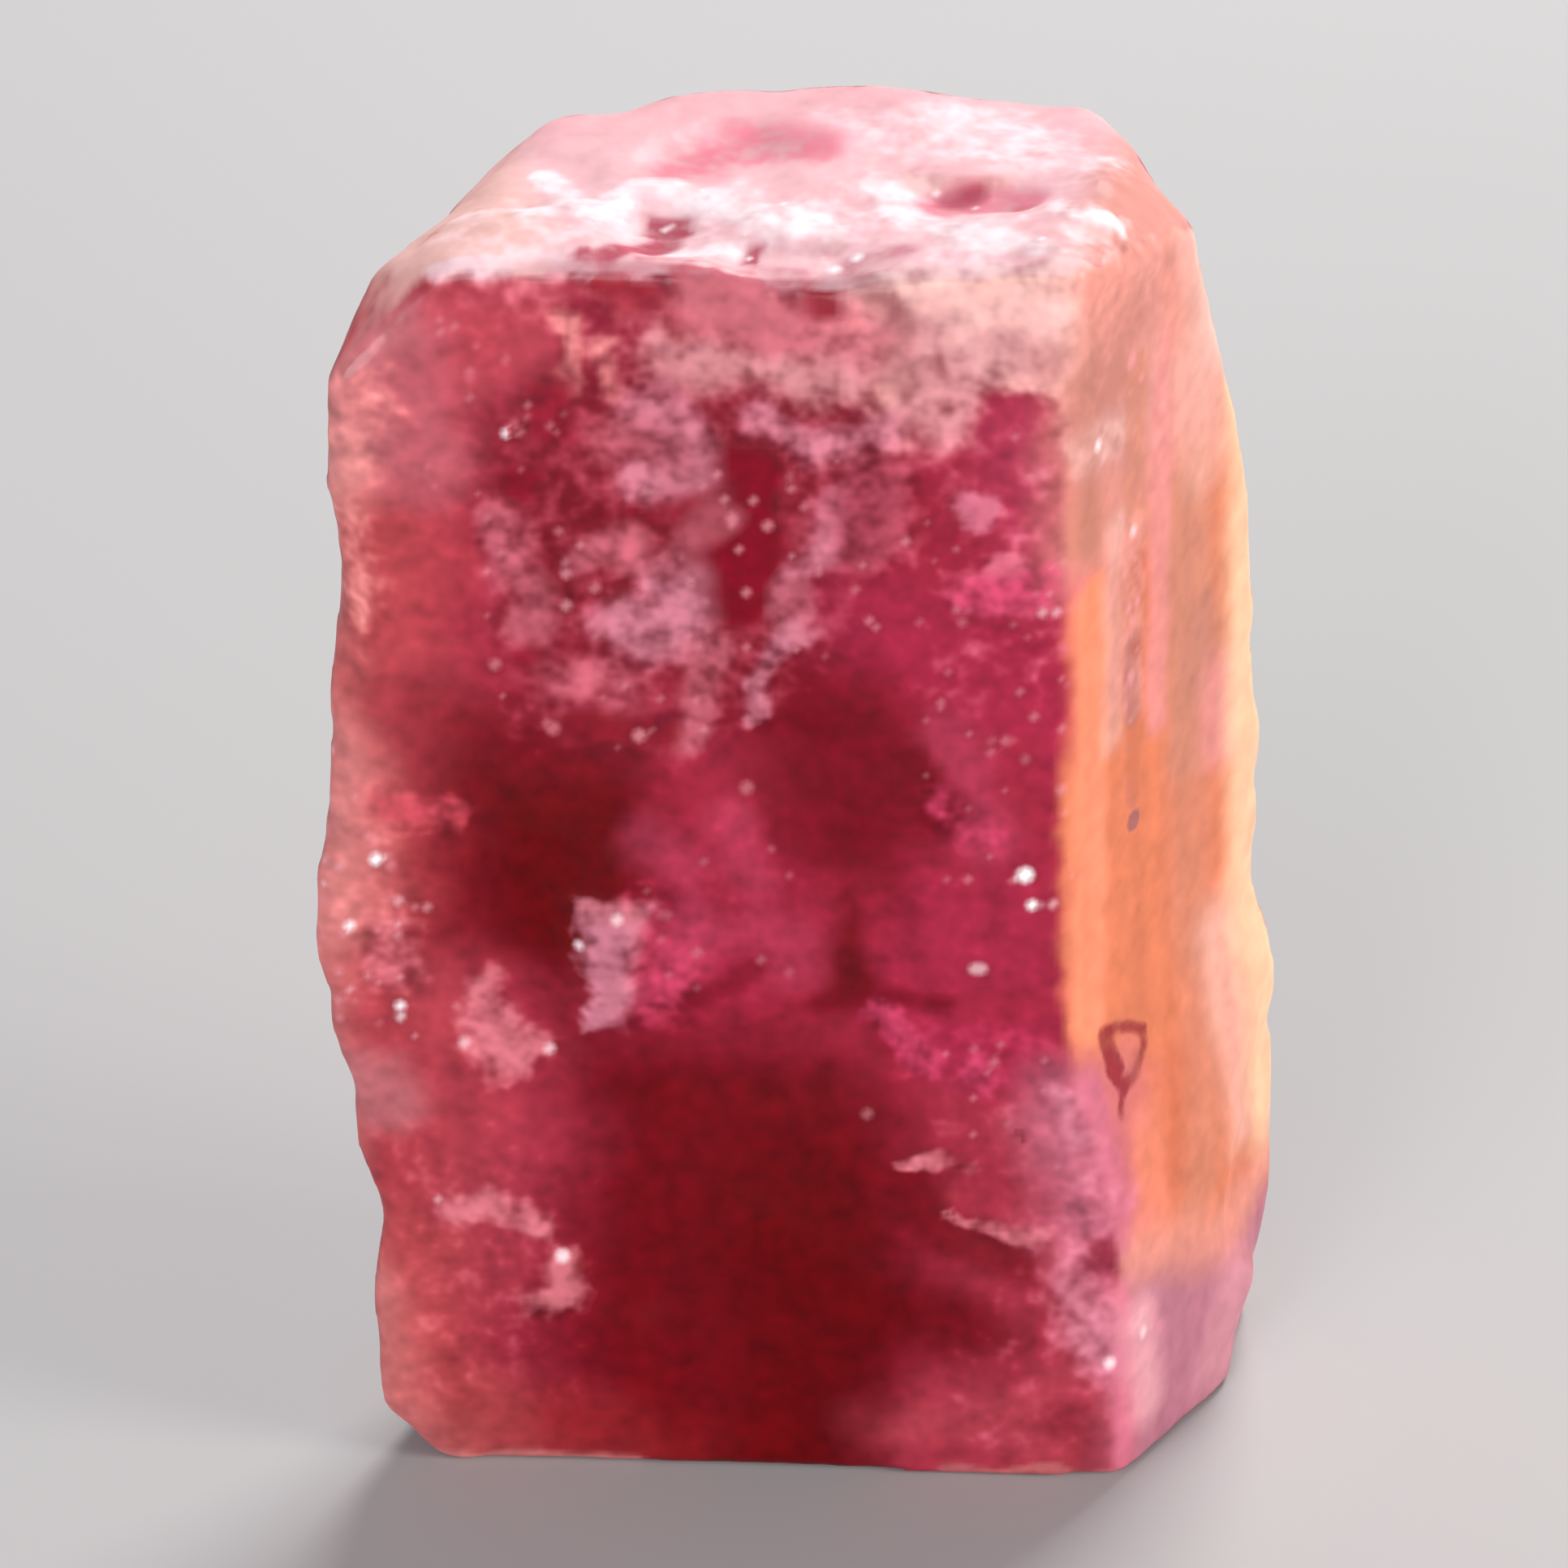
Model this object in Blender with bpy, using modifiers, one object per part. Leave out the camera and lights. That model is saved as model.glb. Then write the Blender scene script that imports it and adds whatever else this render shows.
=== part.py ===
"""A single crystal of red beryl: a six-sided prism, flattened front to back, standing on its base.

Metres, +Z up. The widest face looks along -Y and the crystal is tallest along +Z. A block is cut
by the crystal's faces, its edges are worn round, and then pits, scars, growth steps and lumps are
pressed into the faces or raised from them. It grew as one piece, so it is one object.
"""

import math

import bmesh
import bpy
from mathutils import Matrix, Vector, noise

MM = 0.001

HEIGHT = 11.95 * MM
MIDDLE = Vector((0.0, 0.0, HEIGHT / 2))
ROUGH_BLOCK = 4 * HEIGHT
DOWN = Vector((0.0, 0.0, -1.0))

# Each face: azimuth (0 looks along -Y, 90 along +X), rise above level, distance from MIDDLE in mm.
FACES = {
    "front": (0, 0, 1.70),
    "right": (60, 0, 2.88),
    "right_back": (120, 0, 4.02),
    "right_back_slope": (120, 8.5, 4.00),
    "right_back_shoulder": (120, 15, 4.19),
    "right_shoulder": (75, 50, 6.25),
    "right_foot": (85, -7, 3.95),
    "back": (171, 0, 1.68),
    "back_left": (198, 0, 1.62),
    "back_brow": (183, 46, 5.35),
    "left_back": (242, 1.2, 2.82),
    "left": (300, 1.2, 4.20),
    "left_shoulder": (285, 40, 6.28),
    "left_brow": (245, 45, 5.76),
    "left_foot": (275, -42, 6.76),
    "top": (270, 88.5, 5.97),
}

# The lower part grew a little to the right of the upper one.
LEAN = 0.52 * MM
LEAN_STARTS = 5.0 * MM
LEAN_ENDS = 2.1 * MM

EDGE_WEAR = 0.16 * MM
EDGE_STEPS = 3

WORKING_GRAIN = 0.085 * MM
SKIN = 0.35 * MM
TRIANGLES = 9400
ROOT = 1.0 * MM
FLAT_BASE = 0.02 * MM

# Hollows and lumps: face, place across and up it, half width, half height, lift, all in mm.
MARKS = (
    ("top", -1.03, -0.92, 0.50, 0.34, -0.14),
    ("top", -0.35, -1.25, 0.26, 0.20, -0.10),
    ("top", 1.49, -0.39, 0.50, 0.26, -0.14),
    ("top", 0.17, -1.45, 0.42, 0.24, -0.10),
    ("top", -0.76, 0.31, 0.60, 0.30, -0.08),
    ("top", 0.60, 1.05, 0.80, 0.60, 0.12),
    ("top", -2.00, -0.95, 0.60, 0.40, 0.06),
    ("top", 2.30, 0.95, 0.60, 0.50, -0.10),
    ("front", -1.05, 10.41, 0.34, 0.46, -0.05),
    ("front", -2.27, 9.04, 0.40, 0.50, -0.06),
    ("front", -0.99, 8.77, 0.45, 0.45, -0.06),
    ("front", 0.22, 9.20, 0.25, 0.60, -0.05),
    ("front", -1.59, 5.31, 0.30, 0.42, 0.07),
    ("front", -2.39, 4.46, 0.55, 0.42, -0.08),
    ("front", 1.49, 9.63, 0.28, 0.26, 0.05),
    ("front", 0.57, 5.14, 0.24, 0.50, -0.05),
    ("front", -1.95, 1.90, 0.42, 0.38, -0.05),
    ("front", 1.90, 0.94, 0.90, 0.60, 0.06),
    ("right", 2.35, 5.30, 0.40, 1.60, 0.05),
    ("right", 0.70, 8.60, 0.18, 1.90, -0.03),
    ("left", -0.10, 5.60, 0.60, 0.90, 0.20),
    ("left", 0.10, 6.85, 0.40, 0.28, 0.10),
    ("left", 0.00, 4.70, 0.50, 0.35, 0.10),
    ("left", 0.00, 8.50, 0.80, 1.10, -0.18),
    ("left", 0.00, 10.40, 0.50, 0.70, 0.12),
    ("left", 0.00, 3.30, 0.80, 0.90, 0.10),
    ("left", 0.00, 1.10, 0.80, 0.80, 0.10),
    ("right_shoulder", 0.00, 11.65, 0.90, 0.35, 0.14),
    ("right_foot", 0.00, 2.60, 1.40, 1.10, -0.16),
    ("right_foot", 0.00, 0.90, 0.80, 0.22, 0.08),
    ("left_back", 1.30, 5.30, 0.50, 0.70, 0.12),
    ("left_back", 0.30, 7.80, 0.70, 0.90, -0.08),
    ("back", 0.60, 7.40, 1.10, 1.50, 0.08),
    ("back", 1.40, 3.10, 0.70, 0.80, -0.10),
    ("back_left", 0.70, 4.70, 0.60, 0.90, -0.08),
)

# Growth steps and scars: face, the two ends of the upper lip, drop under it, reach, all in mm.
STEPS = (
    ("front", -1.60, 4.70, 2.60, 4.80, -0.07, 1.80),
    ("front", 0.90, 3.30, 2.30, 2.62, -0.08, 0.90),
    ("front", -2.95, 2.85, -1.90, 2.50, -0.06, 0.70),
    ("front", -1.10, 7.55, 0.40, 7.75, -0.05, 0.80),
    ("left_back", -1.20, 6.10, 1.60, 6.30, 0.10, 1.60),
    ("back", -1.20, 8.60, 2.20, 8.30, -0.08, 1.70),
    ("back_left", -1.00, 2.90, 2.00, 3.10, 0.09, 1.50),
)

# Grain of each face: size and height of its swells, size and depth of its etched hollows, in mm.
GRAINS = {
    "top": (1.60, 0.08, 0.80, 0.05),
    "front": (2.60, 0.05, 1.10, 0.02),
    "left": (0.80, 0.08, 0.50, 0.04),
    "left_back": (1.20, 0.07, 0.70, 0.05),
    "right": (3.00, 0.03, 1.60, 0.00),
    "right_foot": (0.80, 0.07, 0.60, 0.06),
}
PLAIN_GRAIN = (1.60, 0.05, 1.20, 0.04)
HOLLOW_RIM = 0.05
HOLLOW_SLOPE = 0.30
HOLLOW_PLACE = Vector((7.0, 3.0, 5.0))

# Marks and steps have torn outlines: how far they stray, and over what size, in mm. A mark is gone
# at this many half widths, and a step at this many reaches and over its tips' share of its length.
TEAR = 0.28
TEAR_SIZE = 0.55
LIP_WIDTH = 0.20
MARK_ENDS = 1.5
STEP_TIP = 0.25
STEP_ENDS = 1.3


def clear_scene():
    for thing in list(bpy.data.objects):
        bpy.data.objects.remove(thing)


def face_frame(azimuth, rise):
    """The outward direction of a face, and the directions across it and up it."""
    turn, lift = math.radians(azimuth), math.radians(rise)
    out = Vector((math.sin(turn) * math.cos(lift), -math.cos(turn) * math.cos(lift), math.sin(lift)))
    if rise > 80:
        return out, Vector((1.0, 0.0, 0.0)), Vector((0.0, 1.0, 0.0))
    return out, Vector((math.cos(turn), math.sin(turn), 0.0)), Vector((0.0, 0.0, 1.0))


def ease(value):
    value = min(max(value, 0.0), 1.0)
    return value * value * (3.0 - 2.0 * value)


def cut_by(shape, point, outward):
    """Cuts away what lies outside one face and closes the cut."""
    everything = shape.verts[:] + shape.edges[:] + shape.faces[:]
    cut = bmesh.ops.bisect_plane(
        shape, geom=everything, plane_co=point, plane_no=outward, clear_outer=True
    )
    rim = [edge for edge in cut["geom_cut"] if isinstance(edge, bmesh.types.BMEdge)]
    bmesh.ops.contextual_create(shape, geom=rim)


def crystal_block():
    """The crystal with sharp edges: a block cut by each of its faces, and longer than it at the foot."""
    shape = bmesh.new()
    bmesh.ops.create_cube(shape, size=ROUGH_BLOCK, matrix=Matrix.Translation(MIDDLE))
    for azimuth, rise, distance in FACES.values():
        outward = face_frame(azimuth, rise)[0]
        cut_by(shape, MIDDLE + outward * distance * MM, outward)
    cut_by(shape, Vector((0.0, 0.0, -ROOT)), DOWN)
    bmesh.ops.recalc_face_normals(shape, faces=shape.faces[:])
    return shape


def lean_over(point):
    """How far the lower part of the crystal stands to the right, at this height."""
    return LEAN * ease((LEAN_STARTS - point.z) / (LEAN_STARTS - LEAN_ENDS))


def mark_lift(across, up, mark):
    """A hollow or a lump, full in its middle and fading out past its edge."""
    centre_across, centre_up, half_width, half_height, lift = mark
    away = math.hypot((across - centre_across) / half_width, (up - centre_up) / half_height)
    return lift * ease(MARK_ENDS - away)


def step_lift(across, up, step):
    """A lip with a drop or a rise on its lower side, which dies away below it and past its ends."""
    from_across, from_up, to_across, to_up, lift, reach = step
    along = (across - from_across) / (to_across - from_across)
    below = from_up + (to_up - from_up) * along - up
    inside = ease(along / STEP_TIP) * ease((1.0 - along) / STEP_TIP)
    return lift * inside * ease(below / LIP_WIDTH + 0.5) * ease(STEP_ENDS - below / reach)


def grain_lift(point, grain):
    """Broad swells, and hollows with flat rims between them."""
    swell_size, swell, hollow_size, hollow = grain
    hollowed = noise.noise(point / (hollow_size * MM) + HOLLOW_PLACE) - HOLLOW_RIM
    return swell * noise.noise(point / (swell_size * MM)) - hollow * ease(hollowed / HOLLOW_SLOPE)


def lift_on(name, point, across_way, up_way):
    """How far the surface stands out of the true face here, in mm."""
    torn = TEAR * noise.noise_vector(point / (TEAR_SIZE * MM))
    across = point.dot(across_way) / MM + torn.x
    up = point.dot(up_way) / MM + torn.y
    lift = grain_lift(point, GRAINS.get(name, PLAIN_GRAIN))
    lift += sum(mark_lift(across, up, mark[1:]) for mark in MARKS if mark[0] == name)
    lift += sum(step_lift(across, up, step[1:]) for step in STEPS if step[0] == name)
    return lift


def work_surface(mesh):
    """Moves each point of the fine mesh out of or into the faces that it lies on, and leans the foot."""
    frames = {name: face_frame(azimuth, rise) for name, (azimuth, rise, _) in FACES.items()}
    for vertex in mesh.vertices:
        point = vertex.co.copy()
        push = Vector()
        for name, (outward, across_way, up_way) in frames.items():
            depth = FACES[name][2] * MM - (point - MIDDLE).dot(outward)
            if depth < SKIN:
                share = ease(1.0 - max(depth, 0.0) / SKIN)
                push += outward * share * lift_on(name, point, across_way, up_way) * MM
        vertex.co = point + push
        vertex.co.x += lean_over(point)


def cut_base(mesh):
    """Cuts the crystal off flat where it stands."""
    shape = bmesh.new()
    shape.from_mesh(mesh)
    cut_by(shape, Vector(), DOWN)
    bmesh.ops.triangulate(shape, faces=[face for face in shape.faces if len(face.verts) > 4])
    shape.to_mesh(mesh)
    shape.free()


def flatten_base(mesh):
    """Brings points that thinning moved off the base back onto it."""
    for vertex in mesh.vertices:
        if vertex.co.z < FLAT_BASE:
            vertex.co.z = 0.0


def centre_on_base(mesh):
    """Puts the origin under the middle of the crystal's box."""
    for axis in (0, 1):
        places = [vertex.co[axis] for vertex in mesh.vertices]
        middle = (min(places) + max(places)) / 2
        for vertex in mesh.vertices:
            vertex.co[axis] -= middle


def evaluated_mesh(thing):
    graph = bpy.context.evaluated_depsgraph_get()
    return bpy.data.meshes.new_from_object(thing.evaluated_get(graph), depsgraph=graph)


def finely_meshed(thing):
    """The object's surface as an even mesh, fine enough to be worked."""
    grid = thing.modifiers.new("even_mesh", "REMESH")
    grid.mode = "VOXEL"
    grid.voxel_size = WORKING_GRAIN
    mesh = evaluated_mesh(thing)
    thing.modifiers.remove(grid)
    return mesh


def thinned(thing):
    """The object's mesh with large triangles where it is flat and small ones on its relief."""
    mesh = thing.data
    mesh.calc_loop_triangles()
    fewer = thing.modifiers.new("fewer_triangles", "DECIMATE")
    fewer.ratio = TRIANGLES / len(mesh.loop_triangles)
    fewer.use_collapse_triangulate = True
    thin = evaluated_mesh(thing)
    thing.modifiers.remove(fewer)
    return thin


def beryl_material():
    material = bpy.data.materials.new("red_beryl")
    material.use_nodes = True
    shader = material.node_tree.nodes["Principled BSDF"]
    shader.inputs["Base Color"].default_value = (0.42, 0.035, 0.075, 1.0)
    shader.inputs["Roughness"].default_value = 0.25
    shader.inputs["Metallic"].default_value = 0.0
    shader.inputs["IOR"].default_value = 1.57
    shader.inputs["Transmission Weight"].default_value = 0.4
    material.diffuse_color = (0.42, 0.035, 0.075, 1.0)
    return material


def make_crystal(collection):
    shape = crystal_block()
    bmesh.ops.bevel(
        shape,
        geom=shape.edges[:],
        offset=EDGE_WEAR,
        segments=EDGE_STEPS,
        affect="EDGES",
        clamp_overlap=True,
    )
    mesh = bpy.data.meshes.new("beryl_crystal")
    shape.to_mesh(mesh)
    shape.free()
    crystal = bpy.data.objects.new("beryl_crystal", mesh)
    collection.objects.link(crystal)
    crystal.data = finely_meshed(crystal)
    work_surface(crystal.data)
    cut_base(crystal.data)
    crystal.data = thinned(crystal)
    flatten_base(crystal.data)
    centre_on_base(crystal.data)
    crystal.data.name = "beryl_crystal"
    crystal.data.materials.clear()
    crystal.data.materials.append(beryl_material())
    return crystal


clear_scene()
red_beryl = bpy.data.collections.new("red_beryl")
bpy.context.scene.collection.children.link(red_beryl)
make_crystal(red_beryl)
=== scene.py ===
import math

import bpy
import numpy as np
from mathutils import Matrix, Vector, noise


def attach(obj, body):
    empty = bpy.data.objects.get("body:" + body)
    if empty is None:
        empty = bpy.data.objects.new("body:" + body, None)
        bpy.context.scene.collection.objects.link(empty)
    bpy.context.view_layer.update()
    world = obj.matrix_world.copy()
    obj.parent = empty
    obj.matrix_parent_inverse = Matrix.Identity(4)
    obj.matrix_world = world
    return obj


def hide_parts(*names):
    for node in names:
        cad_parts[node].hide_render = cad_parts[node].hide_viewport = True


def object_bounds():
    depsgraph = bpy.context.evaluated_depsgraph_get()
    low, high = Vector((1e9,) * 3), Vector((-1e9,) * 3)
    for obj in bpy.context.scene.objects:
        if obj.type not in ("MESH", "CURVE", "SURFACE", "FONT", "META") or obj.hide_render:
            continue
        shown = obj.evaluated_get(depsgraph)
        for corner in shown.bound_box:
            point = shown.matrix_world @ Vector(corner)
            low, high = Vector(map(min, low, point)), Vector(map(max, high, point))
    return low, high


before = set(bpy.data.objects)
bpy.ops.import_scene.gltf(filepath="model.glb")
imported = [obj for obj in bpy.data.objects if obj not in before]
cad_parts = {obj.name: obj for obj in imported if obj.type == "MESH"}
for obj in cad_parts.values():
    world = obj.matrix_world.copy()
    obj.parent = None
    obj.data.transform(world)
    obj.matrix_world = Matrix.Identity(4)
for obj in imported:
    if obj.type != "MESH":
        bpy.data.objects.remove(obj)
cad_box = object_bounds()

# The crystal: one flattened six-sided prism of red beryl, grown in one piece and snapped off below.
# It is glassy and deep red inside, with pale veils of tiny bubbles under the front, a hackly frosted
# top, lumps and flakes down its left, and one smooth side face that glows orange.

MM = 0.001
GRAIN = 0.06 * MM
SMOOTHING = 24


def fine_copy(solid, name):
    """An evenly and finely meshed copy of a solid."""
    piece = bpy.data.objects.new(name, solid.data.copy())
    bpy.context.scene.collection.objects.link(piece)
    grid = piece.modifiers.new("grid", "REMESH")
    grid.mode = "VOXEL"
    grid.voxel_size = GRAIN
    smooth = piece.modifiers.new("smooth", "SMOOTH")
    smooth.factor = 0.5
    smooth.iterations = SMOOTHING
    graph = bpy.context.evaluated_depsgraph_get()
    mesh = bpy.data.meshes.new_from_object(piece.evaluated_get(graph), depsgraph=graph)
    piece.modifiers.clear()
    piece.data = mesh
    return piece


def read_points(mesh, kind):
    """The mesh's points, as their places ("co") or as the way they face ("normal")."""
    values = np.empty(len(mesh.vertices) * 3)
    mesh.vertices.foreach_get(kind, values)
    return values.reshape(-1, 3)


crystal = fine_copy(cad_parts["beryl_crystal"], "red_beryl_crystal")
points = read_points(crystal.data, "co") / MM
facing = read_points(crystal.data, "normal")
HEIGHT = points[:, 2].max()

# Places on the crystal are given in millimetres on the face that they lie on: across it and up it.
# The front's and top's are the crystal's own, the side's start from its front edge, and the back's
# run down from its top edge, so that what is laid on it lies upside down.

SIDE_TURN = math.radians(60)
SIDE_EDGE = (2.35, -1.66, 0)
SIDE_ALONG = (math.cos(SIDE_TURN), math.sin(SIDE_TURN), 0)
SIDE_OUT = (math.sin(SIDE_TURN), -math.cos(SIDE_TURN), 0)
# Each face: its start, across, up, out, how squarely a point has to face out, and how torn marks are.
FACES = {
    "front": ((0, 0, 0), (1, 0, 0), (0, 0, 1), (0, -1, 0), 0.25, 0.7),
    "side": (SIDE_EDGE, SIDE_ALONG, (0, 0, 1), SIDE_OUT, 0.75, 0.3),
    "left": ((0, 0, 0), (0, 1, 0), (0, 0, 1), (-1, 0, 0), 0.60, 0.7),
    "top": ((0, 0, 0), (1, 0, 0), (0, 1, 0), (0, 0, 1), 0.55, 0.5),
    "back": ((0.6, 0, HEIGHT), (0.87, 0, 0), (0, 0, -1), (0, 1, 0), 0.45, 0.7),
}


def ease(value):
    """0 below 0 and 1 above 1, with a soft way between."""
    value = np.clip(value, 0.0, 1.0)
    return value * value * (3.0 - 2.0 * value)


def ripple(size, seed, stretch=(1, 1, 1)):
    """Smooth noise from about -1 to 1 at every point, in waves of a size in millimetres."""
    scaled = points * np.array(stretch) / size + seed
    return np.array([noise.noise(place) for place in scaled])


torn = np.stack([0.16 * ripple(0.45, seed) for seed in (3.7, 21.3, 57.9)], axis=1)
torn += np.stack([0.06 * ripple(0.16, seed) for seed in (9.1, 33.5, 71.2)], axis=1)
uneven = 0.25 * ripple(0.3, 5.5) + 0.15 * ripple(0.12, 66.1)
on_face = {}
seen = {}
for name, (start, across, up, out, squarely, tearing) in FACES.items():
    moved = points + torn * tearing - np.array(start)
    on_face[name] = np.stack([moved @ np.array(across), moved @ np.array(up)], axis=1)
    seen[name] = ease((facing @ np.array(out) - squarely + 0.1 + uneven * tearing) / 0.25)


def from_path(face, path):
    """How far every point is from a path on a face, in millimetres."""
    path = [np.array(place, float) for place in path]
    nearest = np.full(len(points), np.inf)
    for begin, end in zip(path, path[1:] or path):
        run = end - begin
        share = np.clip((on_face[face] - begin) @ run / max(run @ run, 1e-9), 0, 1)
        away = on_face[face] - begin - share[:, None] * run
        nearest = np.minimum(nearest, np.linalg.norm(away, axis=1))
    return nearest


def within(face, outline):
    """Whether every point lies inside an outline on a face."""
    across, up = on_face[face].T
    inside = np.zeros(len(points), bool)
    for (ax, ay), (bx, by) in zip(outline, outline[1:] + outline[:1]):
        if ay != by:
            crossed = (ay > up) != (by > up)
            inside ^= crossed & (across < ax + (up - ay) * (bx - ax) / (by - ay))
    return inside


def spot(face, path, width, soft):
    """1 within width of a path on a face, falling to 0 over the soft distance.

    With no width the path is an outline that is filled in, and its edge is soft to both sides.
    """
    if width:
        return ease((width + soft - from_path(face, path)) / soft) * seen[face]
    away = from_path(face, path + path[:1]) * np.where(within(face, path), 1, -1)
    return ease(0.5 + away / soft) * seen[face]


def shade(red, green, blue):
    """A colour given as a screen shows it, from 0 to 255, as amounts of light."""
    seen_as = np.array((red, green, blue)) / 255
    return np.where(seen_as <= 0.04045, seen_as / 12.92, ((seen_as + 0.055) / 1.055) ** 2.4)


RASPBERRY = shade(170, 38, 66)
BRIGHT_RASPBERRY = shade(182, 42, 78)
HOT_PINK = shade(206, 70, 108)
PINK = shade(196, 66, 98)
WINE = shade(138, 22, 42)
CRIMSON = shade(128, 9, 32)
DEEP = shade(120, 6, 20)
DARKEST = shade(108, 1, 8)
EMBER = shade(150, 24, 32)
BRICK = shade(172, 66, 70)
DULL_ROSE = shade(174, 58, 72)
ROSE = shade(198, 75, 90)
SALMON = shade(204, 82, 88)
PALE_SALMON = shade(232, 146, 144)
MAUVE = shade(208, 112, 136)
ORANGE = shade(224, 128, 94)
AMBER = shade(210, 112, 82)
# Painted glow of light coming through the smooth side.
ORANGE_GLOW = shade(250, 148, 114)
PEACH = shade(228, 150, 138)
TAN = shade(210, 136, 114)
# Painted rim highlight for the side's far edge.
RIM_HIGHLIGHT = shade(255, 204, 168)
TOP_PINK = shade(250, 196, 203)
TOP_ROSE = shade(246, 180, 189)
TOP_RIGHT = shade(214, 146, 138)
CREAM = shade(250, 200, 190)
LILAC = shade(206, 126, 146)
ASH = shade(190, 98, 114)
DUSK = shade(176, 74, 94)
HAZE = shade(208, 114, 126)
FROST = shade(232, 166, 162)
DULL_FROST = shade(210, 142, 148)
BROWN = shade(188, 126, 112)
BRIGHT_FROST = shade(250, 196, 190)
GREY = shade(156, 98, 98)
WHITE = shade(255, 238, 244)
BLOOM = shade(255, 226, 234)
PALE = shade(212, 118, 130)
# Darker pink, used as painted shade in the top's hollows.
PINK_AND_PIT_SHADE = shade(180, 66, 90)
SOFT_PIT_SHADE = shade(230, 134, 152)
SMUDGE = shade(230, 116, 140)
FOOT_MAUVE = shade(186, 118, 137)
STAIN = shade(146, 36, 50)
SPARK = shade(240, 154, 168)

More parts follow.
